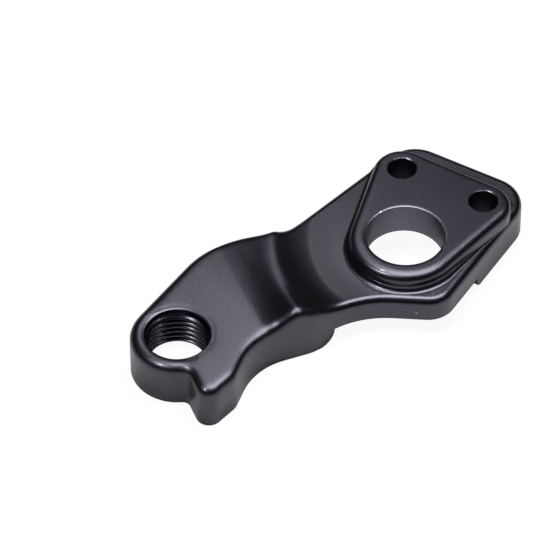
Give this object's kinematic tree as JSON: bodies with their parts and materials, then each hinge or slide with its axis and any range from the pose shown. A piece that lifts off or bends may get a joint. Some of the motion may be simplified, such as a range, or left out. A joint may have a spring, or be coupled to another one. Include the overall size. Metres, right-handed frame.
{
  "type": "bicycle derailleur hanger",
  "caption": "One-piece black aluminium derailleur hanger: a plate with an axle bore in a raised triangular screw boss, and an offset leg with a threaded derailleur hole and a stop tab.",
  "frame": {"origin": "on the axle bore's axis, level with the plate's upper face that seats on the frame", "axes": "+Z along the axle bore, from the underside towards the boss; +Y from the axle towards the middle between the screw holes; the leg runs towards -X and -Y"},
  "size_m": [0.0401, 0.061, 0.0102],
  "materials": {
    "black_anodised": "satin black anodised"
  },
  "bodies": {
    "root": {"hanger": "black_anodised"}
  },
  "joints": []
}
